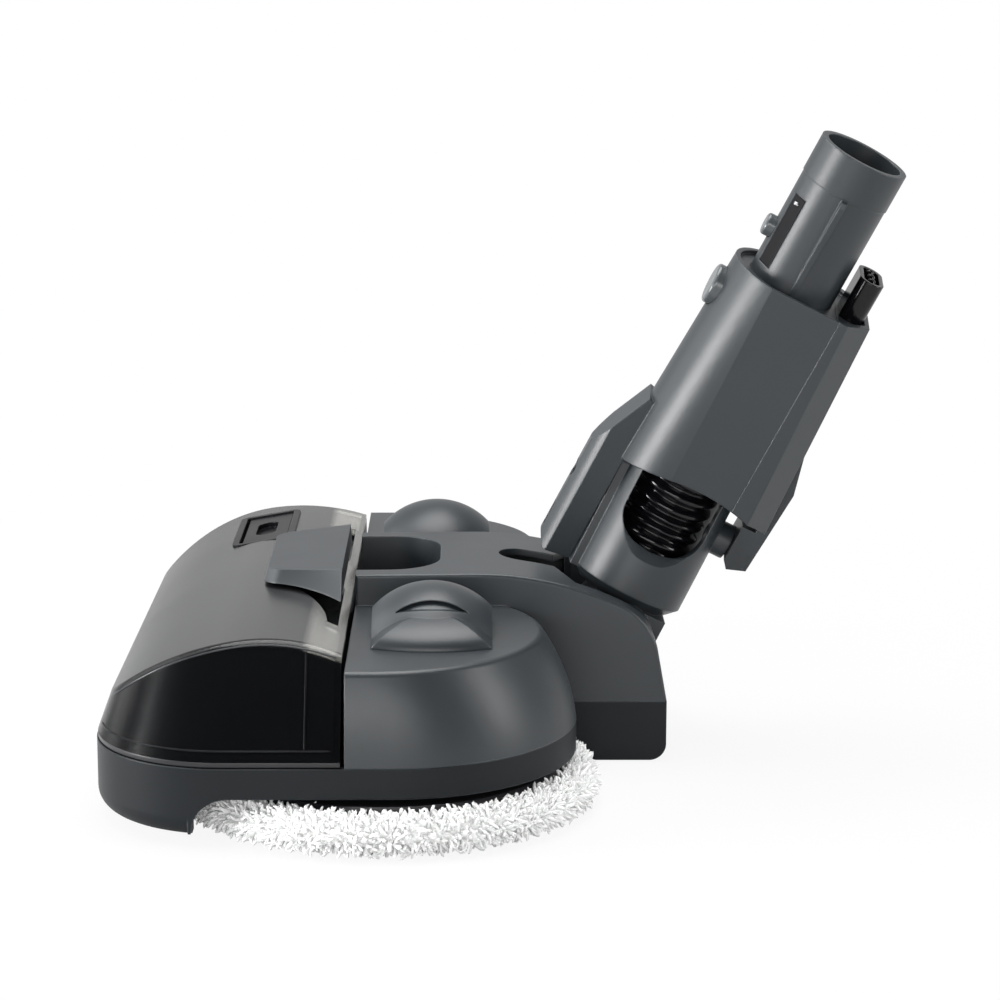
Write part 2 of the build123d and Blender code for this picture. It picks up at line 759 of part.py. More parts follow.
# Knuckle: a round tube on a cross barrel, cut to a U on both sides so that the hose shows
knuckle_r = 21.5
knuckle_bore = 17.5
barrel_r = 14.0
barrel_half = cheek_half - 0.4
tube_from = 13.0
foot_bevel = 4.0  # bevel round the tube's lower end
prong_top = 61.0
prong_long = prong_top - tube_from - foot_bevel
cut_low = 34.5
cut_half = 15.8
rim_bevel = 4.5  # the rim of the U slopes outward over this width
hose_from = 17.5  # ledge that the hose stands on
hose_bore = 12.0
hose_valley = 13.4
hose_crest = 15.6
passage_r = 10.5  # air passage through the barrel
trunnion_r = pivot_r - run_gap
swivel_r = 3.5
boss_r = 6.5
front_ear = -26.0  # inner faces of the two ears of the upper neck
rear_ear = 23.7
boss_gap = 0.3
pad_low = 16.0  # flat pad on the knuckle's front, which the front ear slides on
pad_high = 58.0
pad_half = 8.0


def tube_circle(plane, radius):
    """A circle about the tube's axis, square to it."""
    with BuildSketch(plane) as ring:
        with Locations((tube_x, 0)):
            Circle(radius)
    return ring.sketch


def u_outline(half, low):
    """The U that both sides of the knuckle are cut to."""
    with BuildSketch() as outline:
        with Locations((tube_x, prong_top)):
            RectangleRounded(2 * half, 2 * (prong_top - low), half - 4)
    return outline.sketch


with BuildPart() as knuckle:
    loft(
        [
            tube_circle(knuckle_plane.offset(tube_from), knuckle_r - foot_bevel),
            tube_circle(knuckle_plane.offset(tube_from + foot_bevel), knuckle_r),
        ]
    )
    extrude(tube_circle(knuckle_plane.offset(tube_from + foot_bevel), knuckle_r), amount=prong_long)
    with BuildSketch(side_of(knuckle_plane)):
        Circle(barrel_r)
    extrude(amount=barrel_half, both=True)
    with BuildSketch(knuckle_plane):
        Rectangle(2 * barrel_r, 2 * (knuckle_r - foot_bevel))
    extrude(amount=tube_from)
    with BuildSketch(rearward(knuckle_plane, front_ear + boss_gap, swivel_up)):
        Circle(boss_r)
    extrude(amount=rear_ear - front_ear - 2 * boss_gap)
    with BuildSketch(rearward(knuckle_plane, front_ear + boss_gap, (pad_low + pad_high) / 2)):
        Rectangle(2 * pad_half, pad_high - pad_low)
    extrude(amount=knuckle_r - knuckle_bore)
    # U cuts through both sides, with a sloped rim, and the passage for the hose
    with BuildSketch(side_of(knuckle_plane)):
        add(u_outline(cut_half, cut_low))
    extrude(amount=knuckle_r + 5, both=True, mode=Mode.SUBTRACT)
    for side in sides.values():
        inner = side_of(knuckle_plane).offset(-side * (knuckle_r - rim_bevel))
        outer = side_of(knuckle_plane).offset(-side * (knuckle_r + 0.5))
        with BuildSketch(inner):
            add(u_outline(cut_half, cut_low))
        with BuildSketch(outer):
            add(u_outline(cut_half + 0.9, cut_low - rim_bevel))
        loft(mode=Mode.SUBTRACT)
    extrude(tube_circle(knuckle_plane.offset(hose_from), knuckle_bore), amount=prong_top, mode=Mode.SUBTRACT)
    extrude(tube_circle(knuckle_plane.offset(-barrel_r - 1), passage_r), amount=prong_top, mode=Mode.SUBTRACT)
    with BuildSketch(side_of(knuckle_plane)):
        Circle(trunnion_r)
    extrude(amount=barrel_half + 1, both=True, mode=Mode.SUBTRACT)
    with BuildSketch(rearward(knuckle_plane, front_ear - 1, swivel_up)):
        Circle(swivel_r + run_gap)
    extrude(amount=rear_ear - front_ear + 2, mode=Mode.SUBTRACT)
keep(knuckle, "knuckle")

for side_name, side in sides.items():
    with BuildPart() as trunnion:
        with BuildSketch(Plane(origin=pitch_at, x_dir=(1, 0, 0), z_dir=(0, side, 0)).offset(barrel_half - 4)):
            Circle(trunnion_r)
        extrude(amount=pivot_reach - barrel_half + 3.5)
    keep(trunnion, f"{side_name}_trunnion")


# Upper neck: a drafted housing with an ear before and behind the knuckle
neck_low = 12.0  # the lower edge is arched up from here
neck_arch = 19.8
neck_top = 98.0
ear_low = -31.0
ear_front = -39.6
ear_side_x = -35.2  # the ear's front is round between its flat sides
rear_ear_low = -6.5
ear_half = 8.5
rear_ear_half = 9.0
neck_wall = 2.5
seam_x = 15.0  # the rear cover starts here
button_up = 84.6
button_r = 7.4
slot_up = -20.0  # slot in the front ear


def neck_section(z, front, rear, half, bow):
    """Round front, flat sides and a rear with two sloped facets."""
    with BuildSketch(upper_plane.offset(z)) as plan:
        with BuildLine():
            ThreePointArc((front + bow, half), (front, 0), (front + bow, -half))
            Polyline(
                (front + bow, -half),
                (rear - 9, -half),
                (rear, -half + 10),
                (rear, half - 10),
                (rear - 9, half),
                (front + bow, half),
            )
        make_face()
    return plan.sketch


def neck_block(inset, low, high):
    """The housing between two heights, or its hollow."""
    with BuildPart() as block:
        loft(
            [
                neck_section(low, -28.7 + inset, 31.5 - inset, 22.5 - inset, 19.5),
                neck_section(high, -25.3 + inset, 27.2 - inset, 22.0 - inset, 14.0),
            ],
            ruled=True,
        )
    return block.part


def front_ear_block():
    """The ear before the knuckle, with a round front."""
    with BuildPart() as ear:
        with BuildSketch(side_of(upper_plane)):
            with BuildLine():
                Polyline(
                    (-20.0, 36.0),
                    (-28.2, 38.5),
                    (ear_front + 0.4, 13.6),
                    (ear_front, ear_low + 4.5),
                    (ear_front + 3, ear_low),
                    (front_ear, ear_low + 1.6),
                    (front_ear, neck_arch),
                    (-20.0, neck_arch),
                    close=True,
                )
            make_face()
        extrude(amount=ear_half, both=True)
        with BuildSketch(upper_plane.offset(ear_low - 1)):
            with BuildLine():
                ThreePointArc((ear_side_x, ear_half), (ear_front, 0), (ear_side_x, -ear_half))
                Line((ear_side_x, -ear_half), (-10, -ear_half))
                Line((-10, -ear_half), (-10, ear_half))
                Line((-10, ear_half), (ear_side_x, ear_half))
            make_face()
        extrude(amount=neck_top, mode=Mode.INTERSECT)
    return ear.part


with BuildPart() as neck:
    add(neck_block(0, neck_low, neck_top))
    # The lower edge rises in an arch between front and rear
    with BuildSketch(side_of(upper_plane)):
        with BuildLine():
            ThreePointArc((-31, neck_low), (-4, neck_arch), (34, neck_low))
            Line((34, neck_low), (34, 0))
            Line((34, 0), (-31, 0))
            Line((-31, 0), (-31, neck_low))
        make_face()
    extrude(amount=30, both=True, mode=Mode.SUBTRACT)
    add(front_ear_block())
    with BuildSketch(side_of(upper_plane)):
        with BuildLine():
            Polyline(
                (20.0, neck_arch),
                (rear_ear, neck_arch),
                (rear_ear, rear_ear_low + 3),
                (rear_ear + 2.4, rear_ear_low),
                (32.8, rear_ear_low + 2.6),
                (34.2, 30.0),
                (29.4, 49.0),
                (20.0, 49.0),
                close=True,
            )
        make_face()
    extrude(amount=rear_ear_half, both=True)
    add(neck_block(neck_wall, neck_low - 1, neck_top - 6), mode=Mode.SUBTRACT)
    extrude(tube_circle(upper_plane.offset(neck_top - 10), stem_r), amount=20, mode=Mode.SUBTRACT)
    with BuildSketch(rearward(upper_plane, -45)):
        Circle(swivel_r)
    extrude(amount=90, mode=Mode.SUBTRACT)
    with BuildSketch(rearward(upper_plane, -45, button_up)):
        Circle(button_r + 0.3)
    extrude(amount=25, mode=Mode.SUBTRACT)
    # Slot in the front ear, and the recess inside the top rim
    with BuildSketch(rearward(upper_plane, -45, slot_up)):
        SlotOverall(11, 3.6, rotation=90)
    extrude(amount=11, mode=Mode.SUBTRACT)
    extrude(neck_section(neck_top - 1.5, -23.5, 25.4, 20.2, 13.2), amount=5, mode=Mode.SUBTRACT)

with BuildPart() as neck_front:
    add(neck)
    split(bisect_by=rearward(upper_plane, seam_x), keep=Keep.BOTTOM)
keep(neck_front, "neck_housing")

with BuildPart() as neck_rear:
    add(neck)
    split(bisect_by=rearward(upper_plane, seam_x), keep=Keep.TOP)
keep(neck_rear, "neck_rear_cover")


# Swivel pins: fixed in the ears, running in the bosses of the knuckle
pin_gap = 0.6  # the pins end this far short of the hose's room
for pin_name, pin_from, pin_to in (
    ("front_swivel_pin", -38.0, tube_x - knuckle_bore - pin_gap),
    ("rear_swivel_pin", tube_x + knuckle_bore + pin_gap, 32.0),
):
    with BuildPart() as swivel_pin:
        with BuildSketch(rearward(upper_plane, pin_from)):
            Circle(swivel_r)
        extrude(amount=pin_to - pin_from)
    keep(swivel_pin, pin_name)


# Spigot: the tube that enters the wand, on an adapter that takes the hose
hose_to = 37.0
adapter_top = 55.0
tip_from = 135.5
tip_to = 149.5
shank_r = 15.3  # inside the neck
stem_from = neck_top - 6
catch_up = 112.4
catch_r = 4.0
rib_x = tube_x - 0.6
rib_top = 135.0
rib_out = 2.6  # the rib stands this far off the tube at its top
rib_half = 1.1
strip_from = 101.0
strip_long = 27.0
strip_turn = 211.0  # the contact strip lies between the front and the near side, in degrees
strip_wide = 7.0
strip_bed = tube_r - 1.2  # radius of the strip's bed in the tube
strip_thick = 0.6


def strip_outline(inner, outer, wide):
    """A bar across the tube's wall, between two radii, where the contact strip lies."""
    with BuildSketch(upper_plane.offset(strip_from)) as bar:
        with Locations((tube_x, 0)):
            with PolarLocations((inner + outer) / 2, 1, start_angle=strip_turn):
                Rectangle(outer - inner, wide)
    return bar.sketch


with BuildPart() as spigot:
    extrude(tube_circle(upper_plane.offset(adapter_top), shank_r), amount=stem_from - adapter_top)
    extrude(tube_circle(upper_plane.offset(stem_from), stem_r), amount=tip_from - stem_from)
    extrude(tube_circle(upper_plane.offset(tip_from), tube_r), amount=tip_to - tip_from)
    # Rib on each side, standing further off the tube towards its top
    for side in sides.values():
        with BuildSketch(rearward(upper_plane, rib_x)):
            with BuildLine():
                Polyline(
                    (side * (tube_r - 1), neck_top - 1),
                    (side * (tube_r + 0.3), neck_top - 1),
                    (side * (tube_r + rib_out), rib_top - 2),
                    (side * (tube_r + rib_out - 0.6), rib_top),
                    (side * (tube_r - 1), rib_top),
                    close=True,
                )
            make_face()
        extrude(amount=rib_half, both=True)
    extrude(strip_outline(strip_bed, tube_r + 2, strip_wide), amount=strip_long, mode=Mode.SUBTRACT)
    extrude(tube_circle(upper_plane.offset(adapter_top), tube_bore), amount=tip_to, mode=Mode.SUBTRACT)
    with BuildSketch(rearward(upper_plane, tube_x - 2 * tube_r, catch_up)):
        Circle(catch_r + 0.3)
    extrude(amount=2 * tube_r, mode=Mode.SUBTRACT)
keep(spigot, "spigot_tube")

with BuildPart() as contact_strip:
    extrude(strip_outline(strip_bed, strip_bed + strip_thick, strip_wide - 0.4), amount=strip_long)
keep(contact_strip, "contact_strip")

with BuildPart() as adapter:
    for inset, mode in ((0.0, Mode.ADD), (2.0, Mode.SUBTRACT)):
        foot = tube_circle(upper_plane.offset(hose_to), hose_crest + 0.6 - inset)
        head = tube_circle(upper_plane.offset(adapter_top), tube_bore + 2.0 - inset)
        loft([foot, head], mode=mode)
keep(adapter, "hose_adapter")

with BuildPart() as button:
    with BuildSketch(rearward(upper_plane, -28.4, button_up)):
        Circle(button_r)
    extrude(amount=5.0)
    fillet(button.edges().sort_by(Axis.X)[0], 1.2)
keep(button, "release_button")

with BuildPart() as catch:
    with BuildSketch(rearward(upper_plane, tube_x - tube_r - 2.8, catch_up)):
        Circle(catch_r)
    extrude(amount=4.0)
    fillet(catch.edges().sort_by(Axis.X)[0], 1.0)
keep(catch, "wand_catch")

# Electrical plug beside the tube: a D-shaped tower with three contact pins
plug_x = 20.6
plug_high = 15.8
plug_base = neck_top - 1.5

with BuildPart() as plug:
    with BuildSketch(upper_plane.offset(plug_base)):
        with Locations((plug_x, 0)):
            RectangleRounded(9, 20, 4.4)
    extrude(amount=plug_high)
    with BuildSketch(upper_plane.offset(plug_base + 6)):
        with Locations((plug_x, 0)):
            RectangleRounded(6, 17, 2.9)
    extrude(amount=plug_high, mode=Mode.SUBTRACT)
keep(plug, "plug_housing")

with BuildPart() as plug_pins:
    with BuildSketch(upper_plane.offset(plug_base + 6)):
        with Locations((plug_x, 0)):
            with GridLocations(1, 5.6, 1, 3):
                Circle(1.1)
    extrude(amount=plug_high - 8)
keep(plug_pins, "plug_pins")


# Ribbed hose between the knuckle and the adapter, bent by the swing of the neck
hose_ribs = 12
bend_reach = 6.0  # the bend starts and ends this far from the swivel axis
bend_r = bend_reach / tan(radians(swing / 2))
lower_run = swivel_up - bend_reach - hose_from
bend_run = bend_r * radians(swing)
hose_long = lower_run + bend_run + hose_to - bend_reach


def hose_plane(along):
    """The plane square to the hose at a distance along it; its x axis always points rearward."""
    if along <= lower_run:
        return knuckle_plane.offset(hose_from + along)
    if along >= lower_run + bend_run:
        return upper_plane.offset(bend_reach + along - lower_run - bend_run)
    turn = (along - lower_run) / bend_r
    near_dir = Vector(0, -1, 0)
    start = knuckle_plane.from_local_coords(Vector(0, 0, swivel_up - bend_reach))
    at = start + lean_dir * (bend_r * sin(turn)) + near_dir * (bend_r * (1 - cos(turn)))
    return Plane(origin=at, x_dir=rear_dir, z_dir=lean_dir * cos(turn) + near_dir * sin(turn))


rib_pitch = hose_long / (hose_ribs + 0.25)
with BuildPart() as hose:
    for rib in range(hose_ribs + 1):
        for share, radius in ((0, hose_valley), (0.25, hose_valley), (0.45, hose_crest), (0.8, hose_crest)):
            if rib < hose_ribs or share < 0.3:
                add(tube_circle(hose_plane(rib_pitch * (rib + share)), radius))
    loft(ruled=True)
    for rib in range(hose_ribs + 1):
        add(tube_circle(hose_plane(rib_pitch * rib), hose_bore))
    add(tube_circle(hose_plane(hose_long), hose_bore))
    loft(ruled=True, mode=Mode.SUBTRACT)
keep(hose, "flex_hose")


# Grip of the tank: a plate over the rear of its top, hinged at the front edge and lifted from the pocket
grip_gap = 1.0
grip_front = -85.5
grip_rear = -56.5
grip_low = 62.0
grip_top = 71.2
grip_brow = 69.2  # height of the plate at its front edge
grip_pin_x = -80.5
grip_pin_z = 67.3
grip_pin_r = 0.8
lug_y = 16.0


def grip_plan(z, front, narrow, broad):
    """Outline of the grip at one height, with round front corners."""
    with BuildSketch(Plane.XY.offset(z)) as plan:
        with BuildLine():
            Polyline((front, -narrow), (grip_rear, -broad), (grip_rear, broad), (front, narrow), close=True)
        make_face()
        fillet(plan.vertices().group_by(Axis.X)[0], 9)
    return plan.sketch


with BuildPart() as grip:
    loft([grip_plan(grip_low, grip_front, 33, 49), grip_plan(grip_top, grip_front + 2.5, 29, 38)])
    with BuildSketch(Plane.XZ):
        with BuildLine():
            Polyline(
                (grip_front - 1, grip_brow),
                (grip_rear + 1, grip_top),
                (grip_rear + 1, grip_top + 5),
                (grip_front - 1, grip_top + 5),
                close=True,
            )
        make_face()
    extrude(amount=60, both=True, mode=Mode.SUBTRACT)
    add(tank_block(-grip_gap), mode=Mode.SUBTRACT)
    with Locations((grip_pin_x, lug_y, grip_pin_z - 2), (grip_pin_x, -lug_y, grip_pin_z - 2)):
        Box(5, 7, 6.4, mode=Mode.SUBTRACT)
    with Locations(Plane(origin=(grip_pin_x, 0, grip_pin_z), z_dir=(0, 1, 0))):
        Cylinder(grip_pin_r + run_gap, 2 * lug_y + 14, mode=Mode.SUBTRACT)
keep(grip, "tank_grip")

with BuildPart() as lugs:
    with Locations((grip_pin_x, lug_y, grip_pin_z), (grip_pin_x, -lug_y, grip_pin_z)):
        Box(2.4, 5, 10)
    with Locations((grip_pin_x, 0, grip_pin_z + 0.9)):
        Box(10, 50, 10, align=(Align.CENTER, Align.CENTER, Align.MIN), mode=Mode.SUBTRACT)
    add(tank_block(0), mode=Mode.SUBTRACT)
    with Locations(Plane(origin=(grip_pin_x, 0, grip_pin_z), z_dir=(0, 1, 0))):
        Cylinder(grip_pin_r, 2 * lug_y + 14, mode=Mode.SUBTRACT)
keep(lugs, "grip_lugs")

with BuildPart() as grip_pin:
    with Locations(Plane(origin=(grip_pin_x, 0, grip_pin_z), z_dir=(0, 1, 0))):
        Cylinder(grip_pin_r, 2 * lug_y + 12)
keep(grip_pin, "grip_pin")


# Filler: a black frame in the tank's top, with a hinged lid that has an arched finger scoop
lid_gap = 0.4
lid_wide = filler_wide - 2 * filler_rim - 2 * lid_gap
lid_long = filler_long - 2 * filler_rim - 2 * lid_gap
lid_low = -3.1
lid_thick = 3.5
lid_pin_x = -7.0
lid_pin_r = 0.8

with BuildPart() as filler_frame:
    with BuildSketch(filler_plane.offset(lid_low)):
        RectangleRounded(filler_wide, filler_long, 4)
        RectangleRounded(filler_wide - 2 * filler_rim, filler_long - 2 * filler_rim, 0.8, mode=Mode.SUBTRACT)
    extrude(amount=lid_thick + 0.6)
    with BuildSketch(Plane(origin=filler_plane.origin, x_dir=filler_plane.x_dir, z_dir=-filler_plane.y_dir)):
        with Locations((lid_pin_x, lid_low + lid_thick / 2)):
            Circle(lid_pin_r)
    extrude(amount=filler_long / 2 - 1, both=True, mode=Mode.SUBTRACT)
keep(filler_frame, "filler_frame")

with BuildPart() as filler_lid:
    with BuildSketch(filler_plane.offset(lid_low)):
        Rectangle(lid_wide, lid_long)
    extrude(amount=lid_thick)
    front_face = filler_lid.faces().sort_by(Axis.X)[0]
    chamfer(front_face.edges().filter_by(Axis.Y), 1.0)
    with BuildSketch(filler_plane.offset(lid_low + 1.5)):
        with Locations((lid_wide / 2 - 9, 0)):
            SlotOverall(22, 8, rotation=90)
    extrude(amount=lid_thick, mode=Mode.SUBTRACT)
    with BuildSketch(Plane(origin=filler_plane.origin, x_dir=filler_plane.x_dir, z_dir=-filler_plane.y_dir)):
        with Locations((lid_pin_x, lid_low + lid_thick / 2)):
            Circle(lid_pin_r + run_gap)
    extrude(amount=filler_long, both=True, mode=Mode.SUBTRACT)
keep(filler_lid, "filler_lid")

with BuildPart() as lid_pin:
    with BuildSketch(Plane(origin=filler_plane.origin, x_dir=filler_plane.x_dir, z_dir=-filler_plane.y_dir)):
        with Locations((lid_pin_x, lid_low + lid_thick / 2)):
            Circle(lid_pin_r)
    extrude(amount=filler_long / 2 - 1.2, both=True)
keep(lid_pin, "lid_pin")


# Air path: seal at the tank's outlet and the duct through the spine
duct_to = 22.0
with BuildPart() as seal:
    with Locations(Plane(origin=(tank_rear, 0, duct_z), z_dir=(-1, 0, 0))):
        Cylinder(duct_bore, 4, align=(Align.CENTER, Align.CENTER, Align.MIN))
        Cylinder(duct_bore - 2, 20, mode=Mode.SUBTRACT)
keep(seal, "outlet_seal")

with BuildPart() as duct:
    with Locations(Plane(origin=(split_x + wall, 0, duct_z), z_dir=(1, 0, 0))):
        Cylinder(duct_r, duct_to - split_x - wall, align=(Align.CENTER, Align.CENTER, Align.MIN))
        Cylinder(duct_bore, 300, mode=Mode.SUBTRACT)
keep(duct, "air_duct")

# Suction lip behind the intake slot, rear roller on its axle, water nozzles over the pads
with BuildPart() as lip:
    with Locations((intake_x + intake_wide / 2 + 1.2, 0, foot_z)):
        Box(1.6, intake_long, foot_z - 0.6, align=(Align.CENTER, Align.CENTER, Align.MAX))
keep(lip, "intake_lip")

with BuildPart() as roller:
    with Locations(Plane(origin=(roller_x, 0, roller_r), z_dir=(0, 1, 0))):
        Cylinder(roller_r, 2 * roller_half)
        Cylinder(roller_pin_r + run_gap, 100, mode=Mode.SUBTRACT)
    fillet(roller.edges().filter_by(GeomType.CIRCLE).sort_by(SortBy.RADIUS)[-2:], 1.0)
keep(roller, "rear_roller")

with BuildPart() as axle:
    with Locations(Plane(origin=(roller_x, 0, roller_r), z_dir=(0, 1, 0))):
        Cylinder(roller_pin_r, 2 * roller_half + 14)
keep(axle, "roller_axle")

for side_name, side in sides.items():
    with BuildPart() as nozzle:
        with Locations((disc_x, side * drip_y, tray_low - 0.8)):
            Cylinder(drip_r, 8, align=(Align.CENTER, Align.CENTER, Align.MIN))
            Cylinder(drip_r - 1, 40, mode=Mode.SUBTRACT)
    keep(nozzle, f"{side_name}_drip_nozzle")

# Pump and control board, on either side of the duct
pump_at = (-20.0, 24.0, 32.0)
pump_long = 24.0
port_r = 2.5
board_at = (-18.0, -24.0, 28.0)
board_thick = 1.6
chip_places = [(-12.0, 0.0), (4.0, -2.0), (16.0, 2.0)]  # from the middle of the board

with BuildPart() as pump:
    with Locations(pump_at):
        Box(pump_long, 14, 16)
        fillet(pump.edges().filter_by(Axis.X), 3)
    with Locations(Plane(origin=(pump_at[0] - pump_long / 2, pump_at[1], pump_at[2]), z_dir=(1, 0, 0))):
        Cylinder(port_r, 8)
keep(pump, "water_pump")

with BuildPart() as board:
    with Locations(board_at):
        Box(50, 15, board_thick)
    for along, across in chip_places:
        with Locations((board_at[0] + along, board_at[1] + across, board_at[2] + board_thick / 2)):
            Box(8, 6, 3, align=(Align.CENTER, Align.CENTER, Align.MIN))
keep(board, "control_board")
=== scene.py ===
"""Wet and dry floor scrubber head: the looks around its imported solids. Metres, in the model's frame."""

import math

import bpy
import numpy as np
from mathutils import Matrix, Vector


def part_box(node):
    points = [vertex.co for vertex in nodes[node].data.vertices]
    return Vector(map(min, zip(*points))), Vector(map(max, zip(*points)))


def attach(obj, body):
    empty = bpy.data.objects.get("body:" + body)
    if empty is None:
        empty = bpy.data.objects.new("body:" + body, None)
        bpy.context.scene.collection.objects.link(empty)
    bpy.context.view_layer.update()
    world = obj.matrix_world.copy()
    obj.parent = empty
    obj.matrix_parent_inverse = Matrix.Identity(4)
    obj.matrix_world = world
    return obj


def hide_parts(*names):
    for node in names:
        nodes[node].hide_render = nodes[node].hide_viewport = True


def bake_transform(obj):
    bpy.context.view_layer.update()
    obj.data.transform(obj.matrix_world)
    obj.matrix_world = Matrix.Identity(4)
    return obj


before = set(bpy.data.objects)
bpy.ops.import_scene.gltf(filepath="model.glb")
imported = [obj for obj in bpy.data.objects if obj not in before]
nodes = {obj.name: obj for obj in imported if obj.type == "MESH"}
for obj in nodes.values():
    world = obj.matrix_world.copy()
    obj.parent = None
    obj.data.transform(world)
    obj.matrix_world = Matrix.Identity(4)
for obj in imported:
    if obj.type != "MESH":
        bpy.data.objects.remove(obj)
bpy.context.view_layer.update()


# Body of the head: tray, upper cover and two vent domes, moulded in slate grey ABS.
# The moulds were spark-eroded, so every face carries the same fine, even satin grain,
# and the edges are softly broken.
slate = (0.023, 0.028, 0.032)


def new_group(name, inputs, outputs):
    """An empty shader node group with the named sockets, and its input and output nodes."""
    group = bpy.data.node_groups.new(name, "ShaderNodeTree")
    for socket, kind, value in inputs:
        made = group.interface.new_socket(socket, in_out="INPUT", socket_type="NodeSocket" + kind)
        made.default_value = value
    for socket, kind in outputs:
        group.interface.new_socket(socket, in_out="OUTPUT", socket_type="NodeSocket" + kind)
    return group, group.nodes.new("NodeGroupInput"), group.nodes.new("NodeGroupOutput")


def add_node(tree, kind, settings=None, **inputs):
    """A node with its settings, and its input sockets set by name or linked from other sockets."""
    node = tree.nodes.new("ShaderNode" + kind)
    for key, value in (settings or {}).items():
        setattr(node, key, value)
    for key, value in inputs.items():
        names = [socket.name for socket in node.inputs]
        index = int(key[1:]) if key[1:].isdigit() else names.index(key.replace("_", " "))
        socket = node.inputs[index]
        if isinstance(value, bpy.types.NodeSocket):
            tree.links.new(value, socket)
        else:
            socket.default_value = value
    return node


def combine(tree, operation, first, second):
    """The output of a Math node on two values or sockets."""
    return add_node(tree, "Math", {"operation": operation}, _0=first, _1=second).outputs[0]


def mix_colours(tree, share, first, second):
    """The colour that goes from the first to the second as the share goes from 0 to 1."""
    return add_node(tree, "Mix", {"data_type": "RGBA"}, _0=share, _6=first, _7=second).outputs[2]


def make_moulded_skin():
    """Spark-eroded plastic: fine grain as a height, cloudy gloss, and a painted highlight along the edges,
    a paler colour in cloudy patches. The edge mask is how far a rounded normal turns from the true one."""
    group, given, result = new_group(
        "moulded_skin",
        [
            ("Colour", "Color", (*slate, 1)),
            ("Rough", "Float", 0.42),
            ("Edge_highlight", "Float", 0.5),
        ],
        [("Colour", "Color"), ("Rough", "Float"), ("Height", "Float"), ("Normal", "Vector")],
    )
    place = add_node(group, "TexCoord").outputs["Object"]
    grain = add_node(group, "TexNoise", Vector=place, Scale=2200.0, Detail=2.0)
    cloud = add_node(group, "TexNoise", Vector=place, Scale=26.0, Detail=3.0)
    rounded = add_node(group, "Bevel", {"samples": 6}, Radius=0.0007)
    true_normal = add_node(group, "NewGeometry").outputs["Normal"]
    turn = add_node(group, "VectorMath", {"operation": "DOT_PRODUCT"}, _0=rounded.outputs[0], _1=true_normal)
    edge = add_node(group, "MapRange", Value=turn.outputs["Value"], From_Min=0.995, From_Max=0.90)
    patchy = add_node(group, "MapRange", Value=cloud.outputs[0], From_Min=0.35, From_Max=0.7)
    # Painted highlight: the colour goes paler along the edges, in cloudy patches, where light would catch
    # them
    highlight_share = combine(group, "MULTIPLY", edge.outputs[0], patchy.outputs[0])
    painted_highlight_share = combine(group, "MULTIPLY", highlight_share, given.outputs["Edge_highlight"])
    tone = add_node(group, "MapRange", Value=cloud.outputs[0], To_Min=0.93, To_Max=1.07)
    toned = add_node(
        group, "VectorMath", {"operation": "SCALE"}, _0=given.outputs["Colour"], Scale=tone.outputs[0]
    )
    highlighted = mix_colours(group, painted_highlight_share, toned.outputs[0], (0.13, 0.145, 0.155, 1))
    gloss = add_node(group, "MapRange", Value=cloud.outputs[0], To_Min=-0.05, To_Max=0.05)
    rough = combine(group, "ADD", given.outputs["Rough"], gloss.outputs[0])
    group.links.new(highlighted, result.inputs["Colour"])
    group.links.new(rough, result.inputs["Rough"])
    group.links.new(grain.outputs[0], result.inputs["Height"])
    group.links.new(rounded.outputs[0], result.inputs["Normal"])
    return group


moulded_skin = make_moulded_skin()


def new_material(name):
    """An empty node material: its tree, its Principled shader and the material."""
    material = bpy.data.materials.new(name)
    material.use_nodes = True
    return material.node_tree, material.node_tree.nodes["Principled BSDF"], material


def moulded(name, colour, rough, edge_highlight=0.5, bump=0.06, specular=0.5):
    """A plastic with the moulded skin in the given colour, and a painted highlight along its edges."""
    tree, shader, material = new_material(name)
    skin = tree.nodes.new("ShaderNodeGroup")
    skin.node_tree = moulded_skin
    skin.inputs["Colour"].default_value = (*colour, 1)
    skin.inputs["Rough"].default_value = rough
    skin.inputs["Edge_highlight"].default_value = edge_highlight
    bumps = add_node(
        tree,
        "Bump",
        Strength=bump,
        Distance=0.0003,
        Height=skin.outputs["Height"],
        Normal=skin.outputs["Normal"],
    )
    tree.links.new(skin.outputs["Colour"], shader.inputs["Base Color"])
    tree.links.new(skin.outputs["Rough"], shader.inputs["Roughness"])
    tree.links.new(bumps.outputs[0], shader.inputs["Normal"])
    shader.inputs["Specular IOR Level"].default_value = specular
    return material


def dress(material, *names):
    """Give CAD nodes their finished material."""
    for name in names:
        nodes[name].data.materials.clear()
        nodes[name].data.materials.append(material)


slate_plastic = moulded("slate_plastic", slate, 0.40)
dress(slate_plastic, "upper_cover", "near_dome", "far_dome")
# The tray is coloured far darker than the slate it is moulded in: painted shade low down near the floor
dress(moulded("tray_painted_shade", (0.007, 0.009, 0.011), 0.45, specular=0.22), "tray")


# Inside and under the head: pump, board, duct, motors, gears, bushes, pad plates, roller, pins and screws.
# The gears and nozzles are natural acetal and the bushes turned brass; motor cans, pins, axles and screws
# are plated steel, and the rest is plain black plastic.
black_plastic = moulded("black_plastic", (0.012, 0.012, 0.014), 0.32, edge_highlight=0.2)
gear_plastic = moulded("gear_plastic", (0.55, 0.53, 0.47), 0.38, edge_highlight=0.1)
dress(
    black_plastic,
    "air_duct", "water_pump", "near_pad_plate", "far_pad_plate", "intake_lip", "rear_roller",
)
dress(
    gear_plastic,
    "near_wheel_gear", "far_wheel_gear", "near_pinion", "far_pinion",
    "near_drip_nozzle", "far_drip_nozzle",
)


